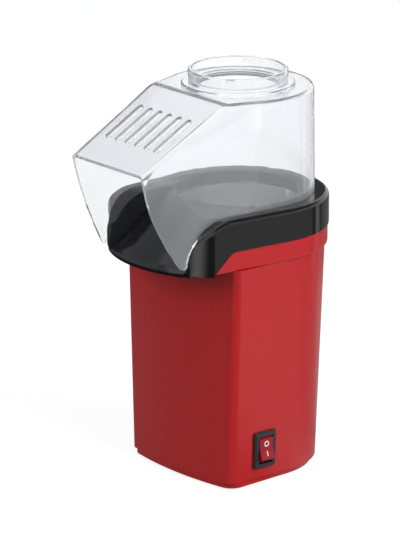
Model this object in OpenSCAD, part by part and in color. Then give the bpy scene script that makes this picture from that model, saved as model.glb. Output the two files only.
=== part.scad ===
// Hot-air popcorn maker: a tapered D-shaped tower holds a motor, fan, heater and popping chamber.
// A sweeping collar with a chute sits on top, and a clear hood lifts off it.
// Millimetres, +Z up, front towards -Y.  The origin is on the plane that the rubber feet stand
// on, under the middle of the whole length.  Every node is drawn about the chamber's axis and
// then moved to its place behind that origin.  A plan outline is always a rear arc about that
// axis, two side lines, two corner arcs and a bowed front, so every wall is the same outline
// moved inwards.

/* [Body] */
// Radius of the body's rear half at its foot, which is also half its width there
body_r_low = 50.7; // [47:0.1:53]
// Radius of the body's rear half at its top
body_r_top = 56; // [54.5:0.1:56.5]
// Height of the visible edge of the base plate under the body
base_edge_h = 3.3; // [2.8:0.1:5]
// Radius of the base plate's two front corners
base_corner_r = 9; // [7:0.5:12]
// Height of the seam between the body and the upper band
seam_z = 147.7; // [146:0.1:149]
// How far the middle of the front face lies ahead of the chamber's axis, at its foot
body_front = 52.5; // [51:0.1:53]
// How far the front face leans forward on its way up
body_front_lean = 1; // [0:0.1:1.4]
// Radius of the bow across the front face
body_bow_r = 240; // [180:1:300]
// Radius of the body's two front corners
body_corner_r = 5.5; // [3:0.1:7]
// Thickness of the body's wall
body_wall = 2.2; // [1.8:0.1:2.6]
// Inset of the base plate's front edge from the body above it
base_inset = 0.7; // [0.2:0.1:1.2]
// How far the base plate's rear half stands in from the body's
base_tuck = 2.7; // [2.2:0.1:4]
// Angle at which the base plate's sides spread towards the front
base_spread = 3; // [2:0.1:3.3]

/* [Collar and band] */
// How far the collar's rear half stands out past the body's
collar_over = 2.5; // [2:0.1:4.5]
// Angle at which the collar's sides close in towards the front
collar_taper = 4.5; // [3:0.1:6]
// Radius of the collar's front corners
collar_corner_r = 6; // [4.5:0.1:7]
// How far the lip of the chute reaches out past the foot of the collar's sweep
lip_run = 8; // [4:0.5:12]
// How far the lip's lower edge hangs under the seam
lip_drop = 2.7; // [1.7:0.1:4.7]
// Height of the band between the seam and the collar
band_h = 13.1; // [11.3:0.1:14.3]
// Height of the collar's flat top above the seam
collar_h = 34.1; // [32.3:0.1:36.3]
// Rounding of the collar's outer top edge
rim_round = 3.2; // [2:0.1:4]
// How far ahead of the chamber's axis the collar's top starts to sweep down
sweep_start = 49; // [46:0.5:52]
// Radius of that sweep, seen from the side
sweep_r = 27; // [26:0.5:30]
// Thickness of the collar's walls
collar_wall = 2.4; // [2:0.1:2.8]
// Inset of the band's outer face from the collar's
band_inset = 0.8; // [0.4:0.1:1.2]

/* [Hood] */
// Thickness of the clear hood
hood_wall = 2; // [1.6:0.1:2.4]
// How far the foot of the hood's rear half stands in from the collar's outside
hood_inset = 9.2; // [8.8:0.1:9.6]
// Height of the hood's flat top above the collar's
hood_h = 69.4; // [62.2:0.1:76.2]
// Half the width of the sloping panel
slope_half = 35.4; // [34:0.1:37]
// Where the sloping panel leaves the flat top, ahead of the axis
slope_y = 42.2; // [40:0.1:46]
// Where the sloping panel ends, ahead of the axis
slope_end_y = 106.6; // [100:0.1:112]
// Height of the sloping panel's front edge above the collar's flat top
spout_h = 34.2; // [28.2:0.1:38.2]
// How much further out than the sloping panel each side panel's tip stands
tip_spread = 5; // [4:0.1:6]
// Depth of the groove in the collar that the hood stands in
groove_depth = 2.6; // [2:0.1:3]
// Clearance on each side of the hood in that groove
groove_gap = 0.5; // [0.3:0.05:0.7]
// Number of vent slots in the sloping panel
vent_count = 6; // [4:1:7]
// Width of each vent slot
vent_w = 4.4; // [3:0.1:6]
// Distance between neighbouring vent slots
vent_pitch = 9.6; // [9:0.1:10]
// Outer radius of the ring on top of the hood
ring_r = 32; // [30:0.1:33]
// Height of the ring above the hood's flat top
ring_rise = 10.4; // [7:0.1:14]
// Radius of the opening in the hood's top
ring_bore_r = 26; // [22:0.1:27]

/* [Popping chamber and air path] */
// Room between the body's wall and the popping chamber, for the sleeve and the screw posts
chamber_room = 13.8; // [13.4:0.1:15.8]
// Depth of the chamber's floor under the collar's flat top
chamber_depth = 61.8; // [55.8:0.5:65.8]
// Thickness of the chamber's sheet aluminium
chamber_t = 0.8; // [0.6:0.1:1]
// Number of slanted air slots around the foot of the chamber
louvre_count = 18; // [12:1:20]
// How far the heater sleeve stands out past the chamber
sleeve_gap = 5; // [4.5:0.1:5.4]
// Height of the fan housing, which carries the sleeve
fan_housing_h = 30.4; // [28.4:0.5:32.4]
// Inner radius of the fan housing
fan_house_r = 36.2; // [35.5:0.1:37]
// Number of impeller blades
blade_count = 12; // [8:1:14]
// Clearance round the impeller in its housing
impeller_gap = 3.2; // [2.2:0.1:6.2]

/* [Motor] */
// Radius of the motor's can
motor_r = 13.9; // [12:0.1:14.5]
// Height of the motor's lower end
motor_z = 10.8; // [10:0.1:12]
// Length of the motor
motor_len = 37.8; // [35:0.1:39]
// Radius of the motor's shaft
shaft_r = 1.15; // [1:0.05:1.5]

/* [Switch] */
// Height of the switch's middle
switch_z = 23.9; // [22.5:0.1:26.5]
// How far ahead of the axis the switch's middle lies
switch_y = 21; // [18:0.1:23]
// Height of the switch's frame
switch_h = 24.4; // [22.4:0.1:25.4]
// Width of the switch's frame
switch_w = 17.9; // [16:0.1:18.9]
// Angle that the rocker turns between off and on
rocker_turn = 22; // [16:1:24]

/* [Fixings] */
// How far the rubber feet stand out under the base plate
foot_out = 1.2; // [0.8:0.1:3]
// Radius of the rubber feet
foot_r = 5; // [4:0.1:6]
// Radius of the thread of the housing screws
screw_r = 1.4; // [1.2:0.05:1.5]
// Radius of the bore in the cord bush
cord_bore_r = 3.2; // [2.5:0.1:3.6]

/* [Hidden] */

base_r = body_r_low - base_tuck;
collar_r = body_r_top + collar_over;
lip_r = sweep_start + sweep_r + lip_run;
lip_z = seam_z - lip_drop;
band_top_z = seam_z + band_h;
rim_z = seam_z + collar_h;
hood_r = collar_r - hood_inset;
hood_top_z = rim_z + hood_h;
slope_end_z = rim_z + spout_h;
chute_half = slope_half + tip_spread - hood_wall - groove_gap + 0.1;
chamber_r = body_r_top - body_wall - chamber_room;
chamber_floor_z = rim_z - chamber_depth;
sleeve_r = chamber_r + sleeve_gap;
deck_z = motor_z + motor_len;
sleeve_z = deck_z + fan_housing_h;
impeller_r = fan_house_r - impeller_gap;
axis_y = (slope_end_y - collar_r) / 2;
module on_axis() {
    translate([0, axis_y, 0]) children();
}

$fn = 72;
e = 0.01;
lap = 1;

body_red = [0.72, 0.12, 0.11];
black = [0.10, 0.10, 0.11];
clear = [0.80, 0.88, 0.92, 0.35];
steel = [0.72, 0.73, 0.75];
alu = [0.84, 0.85, 0.86];
brass = [0.83, 0.68, 0.36];
mica = [0.78, 0.74, 0.66];
rubber_black = [0.16, 0.16, 0.17];

// ---------------------------------------------------------------- outlines and lofts

function arc(c, r, a0, a1, n) =
    [for (i = [0 : n]) let (a = a0 + (a1 - a0) * i / n) [c[0] + r * cos(a), c[1] + r * sin(a)]];
function mirror_x(p) = [-p[0], p[1]];
function tail(list) = [for (i = [1 : len(list) - 1]) list[i]];

// Closes a right half, which runs from the front to the rear on the axis, into a whole outline.
// A half that starts beside the axis gives a straight front.
function closed(half) =
    concat(half, [for (i = [len(half) - 2 : -1 : half[0][0] > 0.001 ? 0 : 1]) mirror_x(half[i])]);

// Right half of a plan outline: front bow of radius bow about [0, bow_y], corner of radius rc,
// side line closing in by taper degrees, rear arc of radius r.  off moves it all inwards.
function plan_half(r, taper, corner, bow, bow_y, off, n_bow, n_rc, n_side, n_rear) =
    let (
        rc = max(corner, off + 0.4),
        nrm = [cos(taper), -sin(taper)],
        fwd = [-sin(taper), -cos(taper)],
        b = -bow_y * fwd[1],
        c = (r - rc) * (r - rc) - 2 * bow_y * (r - rc) * nrm[1] + bow_y * bow_y
            - (bow - rc) * (bow - rc),
        t = -b + sqrt(b * b - c),
        p = (r - rc) * nrm + t * fwd,
        a_corner = atan2(p[1] - bow_y, p[0]),
        side_end = p + (rc - off) * nrm,
        side_top = (r - off) * nrm
    )
    concat(
        arc([0, bow_y], bow - off, -90, a_corner, n_bow),
        tail(arc(p, rc - off, a_corner, -taper, n_rc)),
        [for (i = [1 : n_side - 1]) let (s = pow(i / n_side, 1.3)) side_end + (side_top - side_end) * s],
        arc([0, 0], r - off, -taper, 90, n_rear)
    );

base_z = foot_out;
body_z = base_z + base_edge_h;
function body_r_at(z) =
    body_r_low + (body_r_top - body_r_low) * (z - body_z) / (seam_z - body_z);
function body_front_at(z) = body_front + body_front_lean * (z - body_z) / (seam_z - body_z);
function body_outline(z, off) =
    closed(plan_half(body_r_at(z), 0, body_corner_r, body_bow_r, body_bow_r - body_front_at(z), off,
                     8, 6, 1, 14));
function base_outline(off) =
    closed(plan_half(base_r, -base_spread, base_corner_r, body_bow_r - base_inset,
                     body_bow_r - body_front, off, 8, 8, 1, 12));
function collar_half(off, n_side) =
    plan_half(collar_r, collar_taper, collar_corner_r, lip_r, 0, off, 9, 5, n_side, 14);
function collar_outline(off) = closed(collar_half(off, 14));

// Top of the collar: level at the back, then an arc that sweeps down to the chute's lip.
function sweep_z(y, drop) =
    let (d = max(0, -y - sweep_start))
    (d >= sweep_r ? rim_z - sweep_r : rim_z - sweep_r + sqrt(sweep_r * sweep_r - d * d)) - drop;

// Solid through stacked rings of points, each ring counter-clockwise and symmetric about x = 0.
// Its ends are strips from left to right, so they may rise and fall along y.
module loft(rings) {
    n = len(rings[0]);
    lead = n % 2;
    h = (n - lead) / 2;
    top = (len(rings) - 1) * n;
    sides = [for (k = [0 : len(rings) - 2], i = [0 : n - 1])
        let (a = k * n + i, b = k * n + (i + 1) % n) each [[a, a + n, b + n], [a, b + n, b]]];
    low_end = [for (i = [0 : h - 1]) let (l0 = (n - lead - i) % n, l1 = n - lead - i - 1)
        each (i == l0 ? [[i, i + 1, l1]] : i + 1 == l1 ? [[i, l1, l0]]
            : [[i, i + 1, l1], [i, l1, l0]])];
    high_end = [for (f = low_end) [f[2] + top, f[1] + top, f[0] + top]];
    points = [for (r = rings) each r];
    polyhedron(points = points, faces = concat(sides, low_end, high_end));
}
function at_z(outline, z) = [for (p = outline) [p[0], p[1], z]];
function on_sweep(outline, drop) = [for (p = outline) [p[0], p[1], sweep_z(p[1], drop)]];

// Straight-sided slice of the body's or the collar's outline.
module body_slab(z0, z1, off) {
    loft([at_z(body_outline(z0, off), z0), at_z(body_outline(z1, off), z1)]);
}
module base_slab(z0, z1, off) {
    loft([at_z(base_outline(off), z0), at_z(base_outline(off), z1)]);
}
module collar_slab(z0, z1, off) {
    loft([at_z(collar_outline(off), z0), at_z(collar_outline(off), z1)]);
}

// Extrudes a shape drawn in the side view, [y, z], across the whole width.
module across(half_w) {
    rotate([90, 0, 90]) translate([0, 0, -half_w]) linear_extrude(2 * half_w) children();
}

// ---------------------------------------------------------------- where the fixings are

function polar(r, a) = r * [cos(a), sin(a)];
post_r = 3.6;
top_post_r = 3;
top_post_h = 12;
post_gap = 0.5;
pilot_gap = 0.08;
front_post = [body_r_low - 7.1, -(body_front - 14)];
rear_post = polar(body_r_low - 12.1, 25.3);
rear_top_post = polar(sleeve_r + post_gap + top_post_r, 45);
fan_front_post = polar(fan_house_r - 3.9, -53.1);
fan_rear_post = polar(fan_house_r - 3.9, 51.8);
deck_t = 2.5;
foot_front = [base_r - 15, -(body_front - 11.5)];
foot_rear = [12.5, base_r - 10.2];
flange_t = 2;
function both(p) = [p, mirror_x(p)];
feet_at = concat(both(foot_front), both(foot_rear));
base_posts = concat(both(front_post), both(rear_post));
collar_posts = concat(both(front_post), both(rear_top_post));
fan_posts = concat(both(fan_front_post), both(fan_rear_post));

module at_each(points, z) {
    for (p = points) translate([p[0], p[1], z]) children();
}

// Pan-head screw, its thread up from z = 0 and its head below.
module screw(length, r = screw_r, head_r = 2.7, head_h = 1.8) {
    cylinder(h = length, r = r, $fn = 24);
    translate([0, 0, -head_h]) difference() {
        cylinder(h = head_h, r = head_r, $fn = 32);
        for (a = [0, 90]) rotate([0, 0, a]) translate([-head_r * 0.6, -0.3, -e])
            cube([head_r * 1.2, 0.6, head_h / 2]);
    }
}

// ---------------------------------------------------------------- switch placing

wall_lean = atan((body_r_top - body_r_low) / (seam_z - body_z));
module on_switch() {
    translate([body_r_at(switch_z), -switch_y, switch_z]) rotate([0, wall_lean, 0]) children();
}
switch_box_w = switch_w - 5;
switch_box_h = switch_h - 4.8;
switch_depth = 14;
rocker_w = switch_w - 7.3;
rocker_h = switch_h - 6.8;
rocker_slot_gap = 0.35;
bezel_t = 2.6;
bezel_r = 1.5;
bezel_bevel = 1.1;
pivot_in = 1.6;
pivot_r = 1.3;

// ---------------------------------------------------------------- body

bush_z = 17.2;
bush_half = 4.6;
bush_neck_gap = 0.1;

// Tapered shell, open at the top, with a flange inside its foot that the base plate closes.
module body_shell() on_axis() color(body_red) {
    difference() {
        union() {
            difference() {
                body_slab(body_z, seam_z, 0);
                body_slab(body_z + flange_t, seam_z + lap, body_wall);
                base_slab(base_z, body_z + flange_t + lap, 4);
                on_switch()
                    translate([-body_wall * 2, -switch_box_w / 2 - 0.2, -switch_box_h / 2 - 0.2])
                    cube([body_wall * 4, switch_box_w + 0.4, switch_box_h + 0.4]);
                translate([0, body_r_at(bush_z), bush_z]) rotate([-90, 0, 0])
                    square_rod(bush_half + bush_neck_gap, -4 * body_wall, 8 * body_wall);
            }
            intersection() {
                union() {
                    at_each(base_posts, body_z) cylinder(h = 18, r = post_r);
                    at_each(collar_posts, seam_z - top_post_h)
                        cylinder(h = top_post_h, r = top_post_r);
                    for (p = base_posts) post_web(p, body_z, 16);
                    for (p = collar_posts) post_web(p, seam_z - top_post_h, top_post_h - 1);
                }
                body_slab(body_z, seam_z, body_wall / 2);
            }
        }
        at_each(base_posts, body_z - e) cylinder(h = 14, r = screw_r + pilot_gap, $fn = 24);
        at_each(collar_posts, seam_z - top_post_h - e)
            cylinder(h = top_post_h + lap, r = screw_r + pilot_gap, $fn = 24);
    }
}

// Rib that ties a screw post to the wall beside it.
module post_web(p, z, h) {
    side = p[0] > 0 ? 1 : -1;
    rib = 1.8;
    turn = p[1] > 0 ? atan2(p[1], p[0]) : (side > 0 ? 0 : 180);
    translate([p[0], p[1], z]) rotate([0, 0, turn]) translate([0, -rib / 2, 0]) cube([14, rib, h]);
}

// ---------------------------------------------------------------- collar and upper band

band_front_y = -(sweep_start + 14.4);
band_toe = 4.7;
tongue_in = band_inset + collar_wall + 0.1;
tongue_t = 1.6;

// Side view of the space that the band takes from the collar's foot.
module band_side() {
    shoulder = -sweep_start + 2.6;
    polygon([[collar_r + 5, seam_z - 9], [collar_r + 5, band_top_z], [shoulder, band_top_z],
             [shoulder - 2.2, band_top_z - 0.4], [shoulder - 4.4, band_top_z - 1.6],
             [shoulder - 6.2, band_top_z - 3.1], [band_front_y + 5.1, seam_z + band_toe],
             [band_front_y, seam_z], [band_front_y, seam_z - 9]]);
}

module upper_band() on_axis() color(body_red) {
    edge = 1.1;
    difference() {
        intersection() {
            loft([at_z(collar_outline(band_inset + edge), seam_z),
                  at_z(collar_outline(band_inset + 0.3 * edge), seam_z + 0.3 * edge),
                  at_z(collar_outline(band_inset), seam_z + edge),
                  at_z(collar_outline(band_inset), band_top_z)]);
            across(collar_r + 5) band_side();
        }
        collar_slab(seam_z + 2, band_top_z + lap, band_inset + collar_wall);
        body_slab(seam_z - lap, seam_z + 3, body_wall + 0.3);
        intersection() {
            collar_slab(seam_z - lap, seam_z + 3, band_inset + collar_wall);
            translate([-collar_r, -lip_r - 5, 0]) cube([2 * collar_r, lip_r + 5.3 - body_front, 300]);
        }
    }
}

// Profile of the chute's floor about the chamber's axis: a cone that eases into the lip.
mouth_r = chamber_r + 0.8;
ramp_top_z = rim_z + 0.4;
ramp_end = [lip_r - 5, lip_z + 4.8];
lip_edge_h = 2;
module ramp_profile(drop) {
    polygon([[0, lip_z - 20], [lip_r + 10, lip_z - 20],
             [lip_r + 10, lip_z + lip_edge_h - drop - 4],
             [lip_r + 0.7, lip_z + lip_edge_h - drop - 0.2],
             [ramp_end[0] + 2, ramp_end[1] - 1.2 - drop],
             [ramp_end[0], ramp_end[1] - drop], [mouth_r, ramp_top_z - drop],
             [0, ramp_top_z - drop]]);
}

// Volume above the chute's floor between its side walls.
module chute_space() {
    difference() {
        translate([-chute_half, -lip_r - 10, lip_z + 1])
            cube([2 * chute_half, lip_r + 10, rim_z - lip_z + 20]);
        rotate_extrude($fn = 96) ramp_profile(0);
    }
}

// The hollow underneath, one wall thickness in from every outer face.  Its roof follows the
// sweep, and it stops short of the chute's walls and floor and of the closed front overhang.
under_top = groove_depth + collar_wall + 0.3;
hollow_front_y = -(lip_r - 18);
split_z = band_top_z + 3.6;
function sweep_side(y1, a1, drop, n) = concat([[y1, rim_z - drop]],
    [for (i = [0 : n]) let (a = 90 + (a1 - 90) * i / n)
        [-sweep_start + sweep_r * cos(a), rim_z - sweep_r + sweep_r * sin(a) - drop]]);
module collar_hollow() {
    floor_z = seam_z + collar_wall;
    ramp_drop = collar_wall * 1.35;
    difference() {
        intersection() {
            union() {
                collar_slab(lip_z - 9, split_z, tongue_in + tongue_t - 0.1);
                collar_slab(split_z - e, rim_z + 5, collar_wall);
            }
            across(collar_r + 1) polygon(concat(sweep_side(collar_r + 5, 128, under_top, 8),
                [[hollow_front_y, lip_z - 20], [collar_r + 5, lip_z - 20]]));
        }
        translate([-collar_r, -lip_r - 5, lip_z - 10])
            cube([2 * collar_r, lip_r + 5 - body_front + body_wall, floor_z - lip_z + 10]);
        intersection() {
            translate([-chute_half - collar_wall, -lip_r - 5, lip_z - 10])
                cube([2 * (chute_half + collar_wall), lip_r + 5, rim_z]);
            difference() {
                cylinder(h = rim_z + 20, r = lip_r + 8);
                rotate_extrude($fn = 96) ramp_profile(ramp_drop);
            }
        }
    }
}

// Slopes the land between the groove and the chute down towards the chute, ever more steeply
// towards the front: a strip of sections from the groove's inner side to the chute's wall.
land_in_y = sweep_start - 7;
land_in_r = sweep_r + 2;
land_in_drop = 1.6;
function land_section(a, back, deep, side) =
    let (
        yo = -sweep_start + sweep_r * cos(a) + back,
        zo = rim_z - sweep_r + sweep_r * sin(a),
        yi = -land_in_y + land_in_r * cos(a) + back,
        zi = rim_z - land_in_drop - land_in_r + land_in_r * sin(a) + (1 - deep) * land_in_drop,
        xo = hood_x(yo, zo) - hood_wall - groove_gap + 0.3,
        up = 30 * [cos(a), sin(a)],
        q = [[xo, yo, zo + (deep > 0 ? 0 : 0.02)], [xo, yo + up[0], zo + up[1]],
             [chute_half - 1, yi + up[0], zi + up[1]],
             [chute_half - 1, yi, zi + (deep > 0 ? 0 : 0.02) - 0.15 * deep * (zo - zi)]]
    )
    side > 0 ? q : [for (p = [q[3], q[2], q[1], q[0]]) mirror_x3(p)];
function mirror_x3(p) = [-p[0], p[1], p[2]];
module land_cut() {
    for (side = [-1, 1]) {
        secs = concat([land_section(90, 36, 0, side), land_section(90, 22, 0.7, side)],
            [for (i = [0 : 9]) land_section(90 + 90 * i / 9, 0, 1, side)],
            [[for (p = land_section(180, 0, 1, side)) p - [0, 0, 12]]]);
        n = len(secs);
        polyhedron(points = [for (q = secs) each q], faces = concat([[0, 1, 2], [0, 2, 3]],
            [for (i = [0 : n - 2], k = [0 : 3]) let (a = 4 * i + k, b = 4 * i + (k + 1) % 4)
                each [[a, a + 4, b], [b, a + 4, b + 4]]],
            [[4 * n - 4, 4 * n - 2, 4 * n - 3], [4 * n - 4, 4 * n - 1, 4 * n - 2]]));
    }
}

chamber_flange_z = rim_z - 8.2;
module mouth_tube() {
    translate([0, 0, chamber_flange_z + chamber_t]) difference() {
        cylinder(h = rim_z - chamber_flange_z - chamber_t - 1, r = mouth_r + collar_wall);
        translate([0, 0, -e]) cylinder(h = 30, r = mouth_r);
    }
}
ear_r = sleeve_r + 3.6;
ear_at = [[ear_r, 0], [-ear_r, 0], [0, ear_r]];

module collar() on_axis() color(black) {
    steps = [0, 22.5, 45, 67.5, 90];
    difference() {
        union() {
            difference() {
                intersection() {
                    loft(concat([at_z(collar_outline(0), lip_z)],
                        [for (a = steps) on_sweep(collar_outline(rim_round * (1 - cos(a))),
                                                  rim_round * (1 - sin(a)))]));
                    union() {
                        translate([-collar_r - 5, -lip_r - 5, lip_z + 1.6])
                            cube([2 * collar_r + 10, 2 * lip_r + 10, 60]);
                        lip_underside();
                    }
                }
                across(collar_r + 5) band_side();
                collar_hollow();
                translate([0, 0, chamber_flange_z - 1])
                    cylinder(h = chamber_t + 1, r = sleeve_r + 2);
            }
            collar_tongue();
            mouth_tube();
            at_each(collar_posts, seam_z) cylinder(h = rim_z - seam_z - under_top + 1, r = top_post_r);
            at_each(ear_at, chamber_flange_z + chamber_t)
                cylinder(h = rim_z - chamber_flange_z - chamber_t - 4, r = 2.6);
        }
        cylinder(h = 400, r = mouth_r);
        chute_space();
        land_cut();
        hood_groove();
        // behind the lip's edge the underside is higher
        intersection() {
            translate([-chute_half, -lip_r, lip_z - 1])
                cube([2 * chute_half, lip_r - body_front, seam_z - lip_z + 1]);
            cylinder(h = 300, r = lip_r - collar_wall);
        }
        at_each(collar_posts, seam_z - e) cylinder(h = 12, r = screw_r - 0.2, $fn = 24);
        at_each(ear_at, chamber_flange_z) cylinder(h = 5, r = 1.2, $fn = 24);
    }
}

// The lip hangs lowest under the chute; beside it the collar's foot rises in a short ramp.
module lip_underside() {
    w = chute_half + 1;
    translate([0, -lip_r + 30, 0]) rotate([90, 0, 0]) linear_extrude(35)
        polygon([[-w - 4, lip_z + 1.8], [-w, lip_z - 1], [w, lip_z - 1], [w + 4, lip_z + 1.8],
                 [w + 4, lip_z + 9], [-w - 4, lip_z + 9]]);
}

// Skirt that slips inside the band and the floor that closes the overhang.
module collar_tongue() {
    difference() {
        union() {
            intersection() {
                collar_slab(seam_z + 2.3, band_top_z + 3.6, tongue_in);
                translate([-collar_r, -sweep_start, 0]) cube([2 * collar_r, 2 * collar_r, 300]);
            }
            intersection() {
                collar_slab(seam_z, seam_z + collar_wall, tongue_in);
                translate([-collar_r, -lip_r, 0]) cube([2 * collar_r, lip_r - body_front, 300]);
            }
        }
        intersection() {
            collar_slab(seam_z - lap, band_top_z + 5, tongue_in + tongue_t);
            translate([-collar_r, -body_front, 0]) cube([2 * collar_r, 2 * collar_r, 300]);
        }
    }
}

// ---------------------------------------------------------------- hood

slope_rise = (hood_top_z - slope_end_z) / (slope_end_y - slope_y);
slope_angle = atan(slope_rise);
hood_edge_r = 4.2;
tip_y = sweep_start + sweep_r + 3.2;
tip_z = lip_z + 6.2;

// Front edge of the side panels, as y for a height: a parabola from the slope's end to the tip.
function opening_y(z) =
    let (u = max(0, slope_end_z - z) / (slope_end_z - tip_z))
    -slope_end_y + (slope_end_y - tip_y) * (0.415 * u + 0.585 * u * u);
// Half the width there.
function opening_half(z) = slope_half + tip_spread * pow(max(0, (tip_z + 40 - z) / 40), 1.5);
function slope_front_y(z) = -min(slope_end_y + 6, slope_y + (hood_top_z - z) / slope_rise);

// Half the hood's width at y and z: high up a straight line that touches the rear circle, low
// down a curve that keeps its full width for longer, and a mix of both between.
function hood_x(y, z, off = 0) =
    let (
        r = hood_r - (z - rim_z) * 0.0125 - off,
        ye = z > slope_end_z ? slope_front_y(z) : opening_y(z),
        xe = opening_half(z) - off,
        turn = atan2(-ye, xe) - acos(r / norm([xe, ye])),
        line = -y < r * sin(turn) ? sqrt(r * r - y * y) : (r + y * sin(turn)) / cos(turn),
        bulge = r - (r - xe) * pow(y / ye, 3.4),
        w = max(0, min(1, (z - rim_z) / (slope_end_z - rim_z)))
    )
    y >= 0 ? r : w * line + (1 - w) * bulge;

// Right half of the hood's plan at a height, moved inwards by off.
function hood_half(z, off) =
    let (
        r = hood_r - (z - rim_z) * 0.0125 - off,
        y_front = slope_front_y(z) + off / sin(slope_angle),
        rc = max(0.6, hood_edge_r - off),
        ry = rc / sin(slope_angle),
        y_c = y_front + ry,
        xc = hood_x(y_c, z, off)
    )
    concat(
        [for (a = [0 : 22.5 : 67.5]) [xc - rc * (1 - sin(a)), y_c - ry * cos(a)]],
        [for (k = [0 : 9]) let (y = y_c * (1 - k / 10)) [hood_x(y, z, off), y]],
        arc([0, 0], r, 0, 90, 12)
    );
function hood_ring(z, off) = at_z(closed(hood_half(z, off)), z);

top_round = 2.4;
module hood_body(off, top_z) {
    r = off > 0 ? 0.8 : top_round;
    low = tip_z - 8;
    span = top_z - r - low;
    loft(concat([for (k = [0 : 11]) hood_ring(low + span * k / 12, off)],
        [for (a = [0, 30, 60, 90]) hood_ring(top_z - r * (1 - sin(a)), off + r * (1 - cos(a)))]));
}

// Side view of the whole hood: the foot follows the collar's sweep, and a small round tip joins
// it to the curved front edge.
module hood_side() {
    n = 16;
    tip = [[-sweep_start - sweep_r, tip_z + 1.6], [-sweep_start - sweep_r - 0.8, tip_z + 0.4],
           [-sweep_start - sweep_r - 2, tip_z]];
    edge = [for (i = [0 : n]) let (z = tip_z + 0.3 + (slope_end_z - 3 - tip_z) * i / n)
        [opening_y(z), z]];
    polygon(concat(sweep_side(hood_r + 5, 180, groove_depth, 12), tip, edge,
        [[-slope_end_y, slope_end_z], [-slope_end_y, hood_top_z + 10], [hood_r + 5, hood_top_z + 10]]));
}

// Groove in the collar: the hood's own wall made thicker, above a floor just under its foot.
module hood_groove() {
    low = lip_z - 4;
    zs = [for (k = [0 : 5]) low + (rim_z + 4 - low) * k / 5];
    intersection() {
        difference() {
            loft([for (z = zs) hood_ring(z, -groove_gap)]);
            loft([for (z = concat([low - 1], [for (k = [1 : 4]) zs[k]], [rim_z + 5]))
                hood_ring(z, hood_wall + groove_gap)]);
        }
        across(60) polygon(concat(sweep_side(hood_r + 5, 180, groove_depth + 0.3, 12),
            [[-sweep_start - sweep_r, tip_z + 0.4], [-sweep_start - sweep_r - 1.4, lip_z - 5],
             [-lip_r - 20, lip_z - 5], [-lip_r - 20, rim_z + 9], [hood_r + 5, rim_z + 9]]));
    }
}

vent_top = 19;
vent_bottom = 52.5;
module vent_slots() {
    translate([0, -slope_y, hood_top_z]) rotate([slope_angle, 0, 0])
        for (i = [0 : vent_count - 1])
            translate([(i - (vent_count - 1) / 2) * vent_pitch, 0, -8]) linear_extrude(16) {
                translate([-vent_w / 2, -vent_bottom + vent_w / 2])
                    square([vent_w, vent_bottom - vent_top - vent_w]);
                for (s = [vent_top + vent_w / 2, vent_bottom - vent_w / 2])
                    translate([0, -s]) circle(r = vent_w / 2, $fn = 24);
            }
}

ring_wall = 2.4;
ring_foot_r = ring_r + 4.5;
module ring_collar() {
    top = hood_top_z + ring_rise;
    in_r = ring_r - ring_wall;
    rotate_extrude() polygon([
        [ring_bore_r, hood_top_z - hood_wall], [ring_foot_r, hood_top_z - hood_wall],
        [ring_foot_r, hood_top_z + 1.2], [ring_foot_r - 0.8, hood_top_z + 2],
        [ring_r, hood_top_z + 2], [ring_r, top - 0.7], [ring_r - 0.7, top], [in_r + 0.5, top],
        [in_r, top - 0.5], [in_r, hood_top_z + 3], [ring_bore_r + 0.4, hood_top_z + 3],
        [ring_bore_r, hood_top_z + 2.6]]);
    for (a = [50, 130, 230, 310]) rotate([0, 0, a])
        translate([ring_r - ring_wall - 1.6, -3, hood_top_z + 6.6]) cube([2.6, 6, 1.6]);
}

module hood() on_axis() color(clear) {
    difference() {
        intersection() {
            difference() {
                hood_body(0, hood_top_z);
                hood_body(hood_wall, hood_top_z - hood_wall);
            }
            across(70) hood_side();
        }
        cylinder(h = 400, r = ring_bore_r);
        vent_slots();
    }
    ring_collar();
}

// ---------------------------------------------------------------- base plate and its fixings

module base_plate() on_axis() color(body_red) {
    difference() {
        union() {
            base_slab(base_z, body_z, 0);
            at_each(fan_posts, body_z - lap) cylinder(h = deck_z - body_z + lap, r = 3.4);
        }
        at_each(fan_posts, deck_z - 12) cylinder(h = 13, r = screw_r - 0.2, $fn = 24);
        at_each(base_posts, base_z - e) {
            cylinder(h = 20, r = screw_r + 0.3, $fn = 24);
            cylinder(h = 1, r = 3.1, $fn = 32);
        }
        at_each(feet_at, base_z - e) {
            cylinder(h = 0.8, r = foot_r + 0.1);
            cylinder(h = base_edge_h + 1, r = 2.1, $fn = 24);
        }
        for (i = [0 : 23]) rotate([0, 0, i * 15]) translate([15.5, -1.2, base_z - e])
            cube([12.5, 2.4, base_edge_h + 1]);
    }
}

module rubber_feet() on_axis() color(rubber_black)
    at_each(feet_at, 0) {
        cylinder(h = base_z + 0.8 - 2 * e, r = foot_r);
        cylinder(h = body_z + e, r = 2, $fn = 24);
        translate([0, 0, body_z]) cylinder(h = 0.8, r1 = 2.7, r2 = 2, $fn = 24);
    }

module base_screws() on_axis() color(steel)
    at_each(base_posts, base_z + 1 - e) screw(12, head_r = 2.8, head_h = 1);

module collar_screws() on_axis() color(steel)
    at_each(collar_posts, seam_z - top_post_h) screw(top_post_h + 10, r = screw_r - 0.25);

// ---------------------------------------------------------------- chamber, sleeve and heater

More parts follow.
